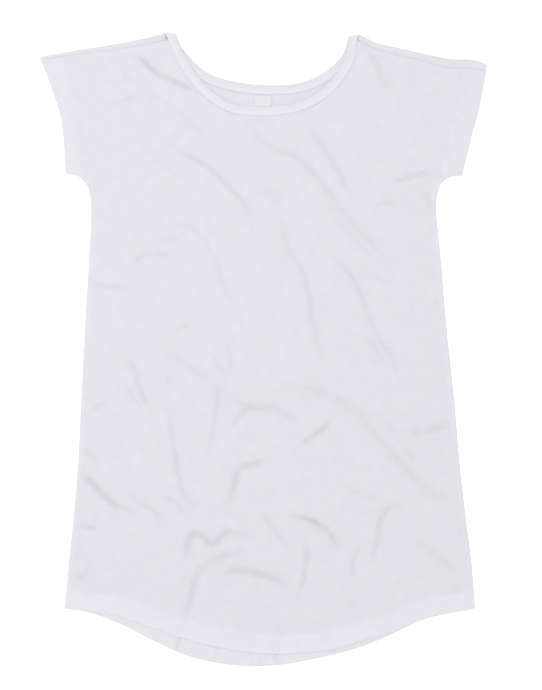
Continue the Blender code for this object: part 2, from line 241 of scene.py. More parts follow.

# %% [markdown]
# ## Creases
#
# A dress that was folded and then laid out keeps creases: narrow soft troughs with a low swell
# on both sides. They could come from a cloth simulation, but then they would fall anywhere. Here
# each one is given as a row with its depth, its half width and the points it runs
# through. No two are alike in length, depth or bend.

# %% The front's creases
Crease = namedtuple("Crease", "depth width points")
FRONT_CREASES = [
    # from the left shoulder across the chest
    Crease(2.6, 4.0, [(-184, 421), (-160, 398), (-147, 388), (-130, 381), (-93, 363)]),
    Crease(0.9, 4.0, [(-215, 405), (-181, 374), (-153, 356), (-130, 343), (-97, 315), (-79, 290)]),
    Crease(1.0, 4.0, [(-224, 344), (-190, 354), (-175, 354)]),
    Crease(0.9, 4.0, [(-168, 293), (-146, 265), (-136, 255), (-97, 232)]),
    Crease(1.5, 4.0, [(-133, 288), (-109, 275), (-76, 256), (-45, 225), (-25, 204), (-12, 165)]),
    # from the neck towards the right hip
    Crease(1.4, 4.0, [(-26, 323), (9, 286), (52, 268), (92, 224), (127, 178), (180, 121)]),
    Crease(1.5, 4.0, [(66, 316), (83, 288), (104, 256), (111, 241), (126, 212)]),
    Crease(1.0, 4.0, [(83, 219), (109, 178), (123, 164), (161, 120)]),
    Crease(1.0, 3.6, [(158, 106), (170, 97), (180, 93)]),
    Crease(0.9, 3.6, [(-19, 218), (9, 217), (23, 201)]),
    Crease(1.0, 3.6, [(-2, 229), (19, 221), (28, 211)]),
    Crease(1.3, 4.0, [(148, 425), (161, 400), (178, 363)]),
    # at the right armpit
    Crease(1.6, 4.0, [(180, 234), (200, 241), (229, 249), (236, 245)]),
    Crease(1.3, 3.6, [(158, 194), (163, 205), (187, 208)]),
    Crease(1.4, 3.6, [(229, 224), (235, 208), (238, 195)]),
    # down the middle and the right
    Crease(1.3, 4.0, [(22, 184), (36, 143), (55, 110), (66, 70), (72, 28), (84, -12)]),
    Crease(1.2, 4.0, [(90, 141), (113, 117), (133, 89), (155, 32), (181, -12), (197, -52)]),
    Crease(1.1, 4.0, [(140, 18), (160, -1), (175, -25)]),
    # left of the middle
    Crease(0.9, 4.0, [(-161, 185), (-137, 170), (-102, 174), (-67, 124), (-56, 90), (-32, 39)]),
    Crease(1.0, 4.0, [(-150, 151), (-136, 154), (-119, 160)]),
    Crease(1.2, 4.0, [(-194, 116), (-171, 131), (-161, 134), (-126, 133)]),
    Crease(1.1, 4.0, [(-246, 90), (-218, 89), (-190, 86)]),
    Crease(1.1, 4.0, [(-133, -11), (-121, -12), (-94, -33), (-76, -45)]),
    Crease(1.3, 3.6, [(-69, -11), (-63, -26), (-53, -39)]),
    Crease(1.0, 3.6, [(-52, 13), (-45, -18), (-49, -29)]),
    Crease(1.1, 3.6, [(-130, 21), (-111, 32), (-100, 35)]),
    Crease(1.2, 4.0, [(-194, -5), (-182, -29), (-177, -50), (-160, -86)]),
    Crease(1.0, 3.6, [(-194, -49), (-180, -76), (-171, -84)]),
    Crease(1.3, 3.6, [(-246, -87), (-236, -83), (-218, -72)]),
    # the waist and the long one down to the right side
    Crease(1.5, 5.5, [(28, -52), (66, -56), (126, -83), (157, -119), (222, -190), (273, -215)]),
    Crease(1.0, 4.0, [(163, -93), (186, -120), (208, -150), (219, -163)]),
    Crease(1.9, 4.0, [(55, -138), (60, -129), (80, -116), (97, -100)]),
    Crease(1.6, 5.0, [(-50, -65), (-28, -79), (-2, -84), (12, -82), (56, -106)]),
    Crease(1.4, 4.0, [(-43, -109), (-33, -94), (-16, -82)]),
    Crease(1.3, 4.0, [(-66, -40), (-65, -72), (-72, -119), (-79, -143)]),
    Crease(1.6, 5.0, [(205, -119), (222, -117), (251, -110), (262, -106)]),
    Crease(1.1, 4.0, [(116, -195), (146, -211), (163, -209)]),
    # the skirt, left
    Crease(1.3, 4.0, [(-136, -76), (-124, -150), (-117, -192), (-110, -209), (-90, -232)]),
    Crease(1.2, 3.6, [(-140, -50), (-134, -42), (-129, -36)]),
    Crease(2.4, 5.0, [(-258, -174), (-232, -200), (-221, -211), (-207, -222), (-180, -231)]),
    Crease(1.4, 3.6, [(-251, -141), (-244, -151), (-235, -157)]),
    Crease(1.4, 4.0, [(-192, -200), (-185, -209), (-154, -231), (-146, -244)]),
    Crease(1.2, 4.0, [(-144, -205), (-124, -217), (-110, -234)]),
    Crease(1.4, 3.6, [(-261, -249), (-249, -252), (-236, -253)]),
    Crease(1.2, 3.6, [(-268, -313), (-256, -324), (-246, -302)]),
    # the skirt, middle
    Crease(2.4, 5.0, [(-110, -295), (-102, -262), (-87, -265), (-72, -276), (-50, -259), (-25, -263)]),
    Crease(1.9, 5.0, [(-114, -384), (-104, -356), (-94, -319), (-84, -307), (-62, -295), (-29, -285)]),
    Crease(2.5, 5.5, [(-60, -319), (-36, -313), (-2, -319), (29, -332)]),
    Crease(2.1, 5.0, [(-55, -225), (-42, -200), (-38, -178), (-31, -167), (6, -158)]),
    Crease(1.2, 4.0, [(-2, -231), (19, -261), (38, -280)]),
    # the skirt, right
    Crease(2.5, 4.0, [(38, -234), (66, -242), (80, -249), (92, -258), (106, -282)]),
    Crease(1.8, 4.0, [(60, -275), (62, -292), (56, -327), (48, -356)]),
    Crease(1.3, 4.0, [(138, -278), (126, -302), (127, -327)]),
    Crease(0.6, 4.0, [(116, -299), (120, -346), (134, -376)]),
    Crease(1.7, 4.0, [(204, -224), (180, -224), (165, -245), (164, -263), (154, -299)]),
    Crease(1.0, 4.0, [(205, -262), (229, -278), (265, -309), (279, -323)]),
]
print(len(FRONT_CREASES), "creases on the front")

# %% [markdown]
# The back lies face down, so its creases can only lift away from the table. It gets its own,
# fewer and shallower, because nothing pressed them.

# %% The back's creases
BACK_CREASES = [
    Crease(0.8, 6.0, [(-205, 330), (-150, 300), (-96, 240), (-60, 170)]),
    Crease(0.9, 6.0, [(40, 330), (88, 280), (120, 205), (170, 140)]),
    Crease(0.7, 5.0, [(190, 250), (228, 262), (262, 268)]),
    Crease(0.8, 6.0, [(-190, 120), (-140, 96), (-80, 20)]),
    Crease(0.9, 6.0, [(60, 90), (110, 40), (140, -40), (200, -90)]),
    Crease(0.9, 6.0, [(-40, -30), (10, -60), (70, -110), (90, -170)]),
    Crease(0.8, 6.0, [(-230, -130), (-170, -180), (-130, -240)]),
    Crease(0.9, 6.0, [(-90, -190), (-60, -250), (-80, -320)]),
    Crease(0.8, 6.0, [(20, -240), (90, -280), (120, -350)]),
    Crease(0.7, 5.0, [(180, -180), (214, -240), (222, -310)]),
    Crease(0.7, 5.0, [(-10, 240), (30, 180), (20, 120)]),
]

# %% [markdown]
# ## How high the cloth lies
#
# One function gives the height of the front's upper face at any place. It adds up what a maker
# would feel: the front lies a few millimetres up on its own folds and comes down to the back at
# the side seams, the creases cut into it, slow swells run between them, and wherever there is
# cloth underneath (a turned-up hem, a seam allowance, the care label) it stands a little proud.

# %% Relief of the front
CARE_LABEL = dict(left=232.0, right=288.0, bottom=-259.0, top=-231.0)
DEEPEST = 2.6            # depth of the hardest crease


def crease_fields(x, y, creases):
    """Height that creases add, a trough between two low swells, and the shade painted along them."""
    relief, crease_shade = np.zeros_like(x), np.zeros_like(x)
    for number, crease in enumerate(creases):
        line = smooth_line(crease.points, even(20))
        reach = 7 * crease.width
        near = ((x > line[:, 0].min() - reach) & (x < line[:, 0].max() + reach)
                & (y > line[:, 1].min() - reach) & (y < line[:, 1].max() + reach))
        if not near.any():
            continue
        away, along = nearest_on(line, x[near], y[near])
        uneven = 0.85 + 0.25 * np.sin(9 * along + 2.1 * number) * np.sin(4.3 * along + number)
        taper = 0.25 + 0.75 * soft_step(along / 0.22) * soft_step((1 - along) / 0.22)
        strength = crease.depth * uneven * taper
        trough = np.exp(-(away / crease.width) ** 2)
        swell = np.exp(-(away / (2.6 * crease.width)) ** 2)
        relief[near] += strength * (0.35 * swell - trough)
        # painted shade: a weight for darkening the colour along the trough, most in the hardest creases
        crease_shade[near] += strength / DEEPEST * np.exp(-(away / (1.05 * crease.width)) ** 2)
    return relief, crease_shade


def ripple(x, y, wavelength, seed):
    """Smooth noise between -1 and 1, about one swell to a wavelength."""
    flat = zip(x.ravel() / wavelength, y.ravel() / wavelength)
    values = [noise.noise((u, v, seed)) for u, v in flat]
    return np.array(values).reshape(x.shape)


def hem_below(x, y, hem_line):
    """1 where the hem is turned up, 0 where the cloth is single."""
    return soft_step((HEM_DEPTH + 1.5 - nearest_on(hem_line, x, y)[0]) / 3.0)


def cuff_below(x, y):
    """1 where a sleeve end is turned up."""
    cuff = np.minimum(nearest_on(LEFT_CUFF, x, y)[0], nearest_on(RIGHT_CUFF, x, y)[0])
    return soft_step((CUFF_DEPTH + 1.5 - cuff) / 3.0)


def allowance_below(x, y):
    """1 over the seam allowance that lies inside each side seam."""
    inside = np.minimum(nearest_on(LEFT_SIDE, x, y)[0], nearest_on(RIGHT_SIDE, x, y)[0])
    return soft_step((inside - 0.5) / 2.5) * soft_step((ALLOWANCE + 1.2 - inside) / 2.4)


def label_below(x, y):
    """1 over the care label in the side seam, with soft borders."""
    across = np.minimum(x - CARE_LABEL["left"], CARE_LABEL["right"] - x)
    up = np.minimum(y - CARE_LABEL["bottom"], CARE_LABEL["top"] - y)
    return soft_step(np.minimum(across, up) / 3.0 + 0.5)


def crumple(x, y):
    """The cloth's small unevenness between the creases, in several sizes."""
    return (0.55 * ripple(x, y, 120.0, 3.0) + 0.42 * ripple(x, y, 44.0, 8.0)
            + 0.26 * ripple(x, y, 23.0, 9.0) + 0.11 * ripple(x, y, 12.0, 5.0))


def front_height(x, y):
    """Height of the front's upper face."""
    side = np.minimum(nearest_on(LEFT_SIDE, x, y)[0], nearest_on(RIGHT_SIDE, x, y)[0])
    doubled = np.maximum(hem_below(x, y, FRONT_HEM), cuff_below(x, y))
    # a rounded edge at the side seam: a quarter ellipse, 4 mm wide
    rounding = np.sqrt(1 - (1 - np.clip(side / 4.0, 0, 1)) ** 2)
    seam = SEAM_LIE + (HEM_LIE - SEAM_LIE) * doubled
    inner = FRONT_LIE + 1.3 * doubled
    lie = seam + 0.9 * rounding * (1 - 0.6 * doubled)
    lie = lie + (inner - lie) * soft_step(side / 60.0)
    relief, _ = crease_fields(x, y, FRONT_CREASES)
    lie = lie + soft_step(side / 14.0) * (relief + (1 - 0.4 * doubled) * crumple(x, y))
    lie = lie + 0.12 * doubled * ripple(x + 0.5 * y, y, 11.0, 1.0)
    lie = lie + 0.16 * allowance_below(x, y) * (1 + 0.9 * ripple(x, y, 16.0, 2.0))
    lie = lie + 0.3 * label_below(x, y)
    # towards the neck and the shoulders it comes down to the seams
    to_seam = np.minimum(nearest_on(NECK_SEAM, x, y)[0],
                         np.minimum(nearest_on(LEFT_SEAM, x, y)[0], nearest_on(RIGHT_SEAM, x, y)[0]))
    outward = np.clip(np.abs(x) / 132.0, 0, 1) ** 2
    level = NECK_LIE + (2 * SHOULDER_RADIUS - NECK_LIE) * outward
    near = 1 - soft_step(to_seam / (48.0 - 22.0 * outward))
    return lie + near * (level - FRONT_LIE - 0.5 * (lie - FRONT_LIE))


# %% [markdown]
# ## From four edges to a panel
#
# A panel is a grid whose outer points lie on its four edges. Its rows follow the hem at the bottom
# and the neck at the top, and its columns follow the sides. The grid itself is Blender's, and its
# points are then moved into place, so hundreds of rows need only the few points of the tables.

# %% Panel helpers
SIDE_REACH = 0.3


def blend_edges(bottom, top, left, right, across):
    """Points of a patch between four edges: rows from the hem up, columns from left to right.

    The columns run straight from the hem to the top edge. Near a side they bend with it, and the
    bend fades out over SIDE_REACH of the width, so that rows never cross at the underarm.
    """
    for side, column in ((left, 0), (right, -1)):
        side[0], side[-1] = bottom[column], top[column]
    up = np.concatenate([[0], np.cumsum(np.linalg.norm(np.diff(left, axis=0), axis=1))])
    up = (up / up[-1])[:, None, None]
    plan = (1 - up) * bottom[None] + up * top[None]
    for side, column, share in ((left, 0, across), (right, -1, 1 - across)):
        bend = side[:, None] - plan[:, column:column + 1 or None]
        plan = plan + (1 - soft_step(share / SIDE_REACH))[None, :, None] * bend
    return plan


def edge_stations(length, fine_steps, step):
    """Fractions of a length, fine at the start and then about one step apart."""
    fine = np.cumsum(fine_steps)
    count = max(int(round((length - fine[-1]) / step)), 2)
    return np.concatenate([[0], fine, np.linspace(fine[-1], length, count + 1)[1:]]) / length


def laid_grid(name, points, uv, keep=None, masks=None):
    """A mesh object from a grid of points, rows x columns x 3, in millimetres.

    uv is rows x columns x 2. keep says which faces stay, and masks are named values per point.
    """
    rows, columns = points.shape[0] - 1, points.shape[1] - 1
    bm = bmesh.new()
    bmesh.ops.create_grid(bm, x_segments=columns, y_segments=rows, size=0.5)
    place = np.array([vert.co[:2] for vert in bm.verts])
    column_of = np.rint((place[:, 0] + 0.5) * columns).astype(int)
    row_of = np.rint((place[:, 1] + 0.5) * rows).astype(int)
    row_layer = bm.verts.layers.int.new("row")
    column_layer = bm.verts.layers.int.new("column")
    for vert, row, column, co in zip(bm.verts, row_of, column_of, points[row_of, column_of] * MM):
        vert[row_layer], vert[column_layer] = int(row), int(column)
        vert.co = co
    if keep is not None:
        waste = [face for face in bm.faces
                 if not keep[min(vert[row_layer] for vert in face.verts),
                             min(vert[column_layer] for vert in face.verts)]]
        bmesh.ops.delete(bm, geom=waste, context="FACES")
    mesh = bpy.data.meshes.new(name)
    bm.to_mesh(mesh)
    bm.free()
    row_of = np.array([item.value for item in mesh.attributes["row"].data])
    column_of = np.array([item.value for item in mesh.attributes["column"].data])
    corner = np.array([loop.vertex_index for loop in mesh.loops])
    layer = mesh.uv_layers.new(name="cloth")
    layer.data.foreach_set("uv", (uv[row_of[corner], column_of[corner]] * MM).ravel())
    for mask, values in (masks or {}).items():
        attribute = mesh.attributes.new(mask, "FLOAT", "POINT")
        attribute.data.foreach_set("value", values[row_of, column_of].ravel())
    for helper in ("row", "column"):
        mesh.attributes.remove(mesh.attributes[helper])
    mesh.shade_smooth()
    piece = bpy.data.objects.new(name, mesh)
    bpy.context.scene.collection.objects.link(piece)
    print(name, "has", len(mesh.polygons), "faces")
    return piece


def give_thickness(piece, thickness):
    """Thicken a sheet away from its visible face."""
    solid = piece.modifiers.new("cloth thickness", "SOLIDIFY")
    solid.thickness = thickness * MM
    solid.offset = -1.0
    return piece


# %% [markdown]
# Both panels share the same kind of edges, so one function works out the plan of either. Its
# columns follow the left shoulder, the neck and the right shoulder. They stand closer at the
# sides, where the cloth rounds down to the seam.

# %% Plan of a panel
FINE_STEPS = (0.6, 0.9, 1.2, 1.6, 2.0, 2.4)
SHOULDER_SHARE = 0.27    # part of the hem that lies below one shoulder
TUCK = 0.8               # how far a panel reaches under the next piece at a seam

Plan = namedtuple("Plan", "points roll shoulder_columns body_rows")


def panel_plan(side, step, neck_step):
    """Plan of the front or the back."""
    hem = [(row.x, getattr(row, side)) for row in HEM]
    shoulder = edge_stations(SHOULDER_SHARE * line_length(FRONT_HEM), FINE_STEPS, step)
    neck_count = int(round(line_length(FRONT_NECK) / neck_step))
    neck = beside(smooth_line([(row.x, getattr(row, side)) for row in NECK], even(neck_count)),
                  BAND_WIDTH - TUCK)
    tops, rolls = [], []
    for rows, stations in ((LEFT_SHOULDER, shoulder), (RIGHT_SHOULDER, 1 - shoulder[::-1])):
        fold = smooth_line([(row.x, row.fold) for row in rows], stations)
        roll = np.interp(fold[:, 0], [row.x for row in rows], [row.roll for row in rows])
        fold[:, 1] -= roll - TUCK if side == "front" else SHOULDER_RADIUS
        tops.append(fold)
        rolls.append(roll)
    neck[0, 1], neck[-1, 1] = tops[0][-1, 1], tops[1][0, 1]
    top = np.vstack([tops[0], neck[1:-1], tops[1]])
    roll = np.concatenate([rolls[0], np.zeros(neck_count - 1), rolls[1]])
    across = np.concatenate([SHOULDER_SHARE * shoulder,
                             SHOULDER_SHARE + (1 - 2 * SHOULDER_SHARE) * even(neck_count)[1:-1],
                             1 - SHOULDER_SHARE * shoulder[::-1]])
    sides = []
    for hand, tip in (("left", tops[0][0]), ("right", tops[1][-1])):
        body = [(getattr(row, hand + "_x"), getattr(row, hand + "_y")) for row in SIDE_LEVELS]
        cuff = [(getattr(row, hand + "_x"), getattr(row, hand + "_y")) for row in SLEEVE_LEVELS]
        cuff[-1] = tuple(tip)
        lower = smooth_line(body, edge_stations(line_length(LEFT_SIDE), FINE_STEPS, step))
        upper = smooth_line(cuff, even(int(round(line_length(LEFT_CUFF) / step))))
        sides.append(np.vstack([lower, upper[1:]]))
    points = blend_edges(smooth_line(hem, across), top, sides[0], sides[1], across)
    return Plan(points, roll, len(shoulder) - 1, len(lower) - 1)


# %% [markdown]
# A turned-up hem is the same cloth folded over, so it is the same grid with more rows: out to
# the fold, round it, and back over the cloth. The hem adds such rows below the grid and the
# sleeve ends add such columns beside it. A positive side folds the cloth over the top, a
# negative one under it.

# %% Turned-up edges
FOLD_TURNS = 4


def turned_up(points, depth, side, steps):
    """Rows that continue a grid past its first row, round a fold and back over the cloth."""
    edge = points[0]
    reach = np.linalg.norm(points[1:, :, :2] - points[0, :, :2], axis=2)
    out = points[0, :, :2] - points[2, :, :2]
    out /= np.linalg.norm(out, axis=1)[:, None]
    rows = []
    for turn in np.linspace(0, math.pi, FOLD_TURNS + 1)[1:]:
        row = edge.copy()
        row[:, :2] += out * FOLD_RADIUS * math.sin(turn)
        row[:, 2] += side * FOLD_RADIUS * (1 - math.cos(turn))
        rows.append(row)
    for distance in np.linspace(0, depth, steps + 1)[1:]:
        row = np.empty_like(edge)
        for column in range(edge.shape[0]):
            span = np.concatenate([[0], reach[:, column]])
            for axis in range(3):
                row[column, axis] = np.interp(distance, span, points[:, column, axis])
        row[:, 2] += side * 2 * FOLD_RADIUS
        rows.append(row)
    return np.array(rows[::-1])


def add_cuffs(sheet, masks, first, last, side, steps):
    """Add turned-up columns beside rows first to last, and say which faces are real."""
    count = FOLD_TURNS + steps
    rows = slice(first, last + 1)
    strips = []
    for mirrored in (sheet, sheet[:, ::-1]):
        strip = np.repeat(mirrored[:, :1], count, axis=1)
        strip[rows] = turned_up(mirrored[rows].transpose(1, 0, 2), CUFF_DEPTH, side,
                                steps).transpose(1, 0, 2)
        strips.append(strip)
    wide = np.concatenate([strips[0], sheet, strips[1][:, ::-1]], axis=1)
    keep = np.ones((wide.shape[0] - 1, wide.shape[1] - 1), bool)
    for columns in (slice(0, count), slice(-count, None)):
        keep[:first, columns] = False
        keep[last:, columns] = False
    wide_masks = {}
    for name, values in masks.items():
        beside_edge = np.repeat(values[:, :1], count, axis=1), np.repeat(values[:, -1:], count, axis=1)
        wide_masks[name] = np.concatenate([beside_edge[0], values, beside_edge[1]], axis=1)
    return wide, wide_masks, keep, count


# %% [markdown]
# ## The back panel
#
# The back lies face down on the table, so what we see of it from above is its inside: the strip
# of turned-up hem below the front's hem, and a crescent below the neckband. At the top it rolls
# forward over the shoulders, to a seam that lies in front of the fold. The strip at the hem has
# creases of its own, across it.

# %% Back panel
BACK_STEP = 5.0
BACK_NECK_STEP = 4.0
CUFF_LIGHTNESS = 0.4     # a sleeve end shows its second layer less than the hem does

STRIP_CREASES = [
    Crease(1.9, 3.0, [(-117, -399), (-119, -410), (-125, -431)]),
    Crease(1.0, 2.6, [(-66, -414), (-67, -426), (-69, -443)]),
    Crease(0.9, 2.4, [(-18, -426), (-17, -436), (-15, -448)]),
    Crease(0.8, 2.4, [(-5, -426), (-5, -436), (-3, -448)]),
    Crease(1.4, 3.6, [(15, -424), (17, -434), (20, -448)]),
    Crease(0.7, 2.4, [(96, -418), (99, -428), (101, -434)]),
]


def back_height(x, y):
    """Height of the back's inner face above the table."""
    lifted, _ = crease_fields(x, y, BACK_CREASES)
    return CLOTH + np.clip(-lifted, 0.0, 0.9)


def make_back():
    plan = panel_plan("back", BACK_STEP, BACK_NECK_STEP)
    x, y = plan.points[..., 0], plan.points[..., 1]
    sheet = np.dstack([x, y, back_height(x, y)])
    sheet[-1, :, 2] = CLOTH
    flat_rows = len(sheet)
    inner_radius = SHOULDER_RADIUS - CLOTH
    rolled = []
    for turn in np.linspace(0, math.pi, 7)[1:]:
        row = sheet[-1].copy()
        row[:, 1] += inner_radius * math.sin(turn)
        row[:, 2] = SHOULDER_RADIUS - inner_radius * math.cos(turn)
        rolled.append(row)
    # the strip in front of the fold, which swells a little and dips at its seam
    for share, lift in ((0.25, 0.2), (0.5, 0.3), (0.75, 0.25), (0.9, 0.1), (1.0, -0.1)):
        row = rolled[5].copy()
        row[:, 1] -= share * (plan.roll - SHOULDER_RADIUS)
        row[:, 2] += lift
        rolled.append(row)
    sheet = np.concatenate([sheet, rolled])
    over = turned_up(sheet, HEM_DEPTH, 1.0, 9)
    x, y = over[..., 0], over[..., 1]
    # the strip's creases: their relief, and the shade painted along them for the colour
    relief, strip_crease_shade = crease_fields(x, y, STRIP_CREASES)
    uneven = 0.3 * ripple(x, 0.25 * y, 15.0, 4.0) + 0.2 * ripple(x + y, y, 7.0, 6.0)
    free = soft_step(np.linspace(len(over) - 1, 0, len(over)) / 4.0)[:, None]
    over[..., 2] += np.clip(free * (uneven + 0.1) + relief, -0.3, 1.0)
    sheet = np.concatenate([over, sheet])
    x, y = sheet[..., 0], sheet[..., 1]
    doubled = np.maximum(hem_below(x, y, BACK_HEM), CUFF_LIGHTNESS * cuff_below(x, y))
    crease_shade = np.zeros(x.shape)
    crease_shade[:len(over)] = strip_crease_shade
    sheet, masks, keep, count = add_cuffs(sheet, {"doubled": doubled, "crease_shade": crease_shade},
                                          len(over) + plan.body_rows, len(over) + flat_rows - 1, 1.0, 6)
    columns = slice(count + plan.shoulder_columns, -count - plan.shoulder_columns)
    keep[len(over) + flat_rows - 1:, columns] = False
    back = laid_grid("back_panel", sheet, sheet[..., :2], keep, masks)
    return give_thickness(back, CLOTH)


back = make_back()

# %% [markdown]
# ## The front panel
#
# The front carries nearly all that we see, so its grid is the finest: a point every three
# millimetres or so, which is enough for the narrowest crease. Its hem and sleeve ends are turned
# under.

# %% Front panel
FRONT_STEP = 3.45
FRONT_NECK_STEP = 3.9


def make_front():
    plan = panel_plan("front", FRONT_STEP, FRONT_NECK_STEP)
    x, y = plan.points[..., 0], plan.points[..., 1]
    height = front_height(x, y)
    # the last millimetres at the top slip under the neckband and the shoulder strip
    to_seam = np.linalg.norm(plan.points - plan.points[-1][None], axis=2)
    height = height - 0.3 * np.exp(-(to_seam / 1.4) ** 2)
    sheet = np.dstack([x, y, height])
    under = turned_up(sheet, HEM_DEPTH, -1.0, 4)
    sheet = np.concatenate([under, sheet])
    x, y = sheet[..., 0], sheet[..., 1]
    doubled = np.maximum(hem_below(x, y, FRONT_HEM), CUFF_LIGHTNESS * cuff_below(x, y))
    doubled = np.maximum(doubled, np.maximum(0.3 * allowance_below(x, y), 0.15 * label_below(x, y)))
    # the shade painted along the creases, for the colour
    _, crease_shade = crease_fields(x, y, FRONT_CREASES)
    sheet, masks, keep, _ = add_cuffs(sheet, {"doubled": doubled, "crease_shade": crease_shade},
                                      len(under) + plan.body_rows, len(sheet) - 1, -1.0, 4)
    front = laid_grid("front_panel", sheet, sheet[..., :2], keep, masks)
    return give_thickness(front, CLOTH)


front = make_front()

# %% [markdown]
# ## The neckband
#
# The band is one ring of rib knit, folded lengthwise and sewn to the neck edge. It lies low at
# the back, folds over at the two shoulder points and lies on top at the front. So it is a grid:
# one way it follows the ring, the other way it goes round the band's section, and both ways its
# ends are joined. It is thickest near the seam, and its colour is lighter there than at the free edge.

# %% Neckband
RING_STEPS = 110         # along each half of the ring
CORNER_TURNS = 8

# the last value lightens the band's colour, more towards the seam
Section = namedtuple("Section", "share height opacity")
BAND_SECTION = [         # from the free edge over the top to the seam, and back underneath
    Section(0.00, 0.45, 0.0),
    Section(0.05, 0.90, 0.1),
    Section(0.14, 1.08, 0.2),
    Section(0.30, 1.12, 0.4),
    Section(0.45, 1.15, 0.6),
    Section(0.60, 1.25, 0.9),
    Section(0.72, 1.33, 1.2),
    Section(0.82, 1.25, 1.3),
    Section(0.91, 1.02, 1.0),
    Section(1.00, 0.80, 0.5),
    Section(1.00, 0.30, 0.5),
    Section(0.85, 0.00, 0.5),
    Section(0.50, 0.00, 0.5),
    Section(0.12, 0.00, 0.5),
    Section(0.03, 0.15, 0.2),
    Section(0.00, 0.45, 0.0),
]


def band_half(side, base, fullness):
    """One half of the ring, section points x columns x 3, from the left corner to the right."""
    edge = smooth_line([(row.x, getattr(row, side)) for row in NECK], even(RING_STEPS))
    half = []
    for section in BAND_SECTION:
        line = beside(edge, section.share * BAND_WIDTH)
        for end, shoulder in ((0, LEFT_SHOULDER[-1]), (-1, RIGHT_SHOULDER[0])):
            corner = np.array([shoulder.x, shoulder.fold]) - edge[end]
            corner[0] += math.copysign(1.0, corner[0])
            line[end] = edge[end] + section.share * corner - (0, SHOULDER_RADIUS)
        half.append(np.column_stack([line, base(line[:, 0]) + fullness * section.height]))
    return np.array(half)


def front_base(x):
    """Height of the band's underside at the front: high at the corners, low in the middle."""
    outward = np.clip(np.abs(x) / 132.0, 0, 1) ** 2
    return NECK_LIE - 0.8 + (2 * SHOULDER_RADIUS - NECK_LIE + 0.3) * outward


def make_neckband():
    low = band_half("back", lambda x: np.zeros_like(x), 0.8)[:, ::-1]
    high = band_half("front", front_base, 1.0)
    corners = []
    for back_end, front_end in ((low[:, -1], high[:, 0]), (low[:, 0], high[:, -1])):
        middle, radius = (back_end + front_end) / 2, (front_end[:, 2] - back_end[:, 2]) / 2
        fold = []
        for turn in np.linspace(0, math.pi, CORNER_TURNS + 1)[1:-1]:
            row = middle.copy()
            row[:, 1] += radius * math.sin(turn)
            row[:, 2] -= radius * math.cos(turn)
            fold.append(row)
        corners.append(np.array(fold).transpose(1, 0, 2))
    ring = np.concatenate([low, corners[0], high, corners[1][:, ::-1], low[:, :1]], axis=1)
    along = np.concatenate([[0], np.cumsum(np.linalg.norm(np.diff(ring[0], axis=0), axis=1))])
    shares = np.array([section.share for section in BAND_SECTION])
    opacity = np.array([section.opacity for section in BAND_SECTION])
    uv = np.dstack(np.meshgrid(along, shares * BAND_WIDTH))
    masks = {"doubled": np.repeat(opacity[:, None], ring.shape[1], axis=1)}
    band = laid_grid("neckband_rib", ring, uv, None, masks)
    bm = bmesh.new()
    bm.from_mesh(band.data)
    bmesh.ops.remove_doubles(bm, verts=bm.verts[:], dist=0.00001)
    bmesh.ops.recalc_face_normals(bm, faces=bm.faces[:])
    bm.to_mesh(band.data)
    bm.free()
    return band, along[-1]


band, band_length = make_neckband()
print("the neckband is %.0f mm round" % band_length)

# %% [markdown]
# ## Labels
#
# A woven label is a short piece of tape. One is sewn under the neckband at the back and is left
# bare. The other is in the side seam at the wearer's left, inside the dress, where only its
# outline shows through the front.

# %% Labels
def make_label(name, node):
    low, high = [Vector(corner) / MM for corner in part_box(node)]
    columns, rows = 14, 14
    x, y = np.meshgrid(np.linspace(low.x, high.x, columns + 1), np.linspace(low.y, high.y, rows + 1))
    curl = 0.25 * (np.abs(2 * even(columns) - 1) ** 3)[None, :]
    z = CLOTH + 0.45 + curl + 0.08 * ripple(x, y, 9.0, 7.0)
    points = np.dstack([x, y, z])
    label = laid_grid(name, points, points[..., :2])
    give_thickness(label, 0.35)
    return label, (high.x - low.x) * MM, (high.y - low.y) * MM


neck_label, neck_label_width, neck_label_length = make_label("neck_label_tape", "neck_label")
care_label, care_label_width, care_label_length = make_label("care_label_tape", "care_label")

# %% [markdown]
# ## Stitches
#
# The hems are closed with twin rows of stitching, and one row runs beside the neckband. Each
# stitch is a small bead of thread, pressed into the cloth. A thousand of them would be slow as
# separate objects, so each row of seams is one mesh, and a stitch has only twenty faces.

# %% Stitch rows
STITCH = 2.6             # length of a stitch
STITCH_GAP = 0.9
THREAD = 0.22            # radius of the sewing thread


def add_stitches(bm, line, height, sink=0.05):
    """Lay stitches end to end along a line on a surface."""
    total = line_length(line)
    count = int(total / (STITCH + STITCH_GAP))
    ends = smooth_line(line, even(2 * count))
    z = height(ends[:, 0], ends[:, 1])
    for k in range(1, 2 * count, 2):
        start = Vector((*ends[k - 1], z[k - 1]))
        end = Vector((*ends[k + 1], z[k + 1]))
        along = (end - start).normalized()
        middle = Vector((*ends[k], z[k] - sink))
        turn = along.to_track_quat("X", "Z").to_matrix().to_4x4()
        size = Matrix.Diagonal((STITCH / 2 * MM, THREAD * MM, THREAD * MM, 1.0))
        place = Matrix.Translation(middle * MM) @ turn @ size
        bmesh.ops.create_icosphere(bm, subdivisions=1, radius=1.0, matrix=place)
    return count


def stitch_object(name, lines, height):
    bm = bmesh.new()
    count = sum(add_stitches(bm, line, height) for line in lines)
    mesh = bpy.data.meshes.new(name)
    bm.to_mesh(mesh)
    bm.free()
    mesh.shade_smooth()
    piece = bpy.data.objects.new(name, mesh)
    bpy.context.scene.collection.objects.link(piece)
    print(name, "has", count, "stitches")
    return piece


def inset(line, distance, ends=0.01):
    """A line moved inwards, a little short of both its ends."""
    moved = beside(line, distance)
    return smooth_line(moved[::2], ends + (1 - 2 * ends) * even(60))


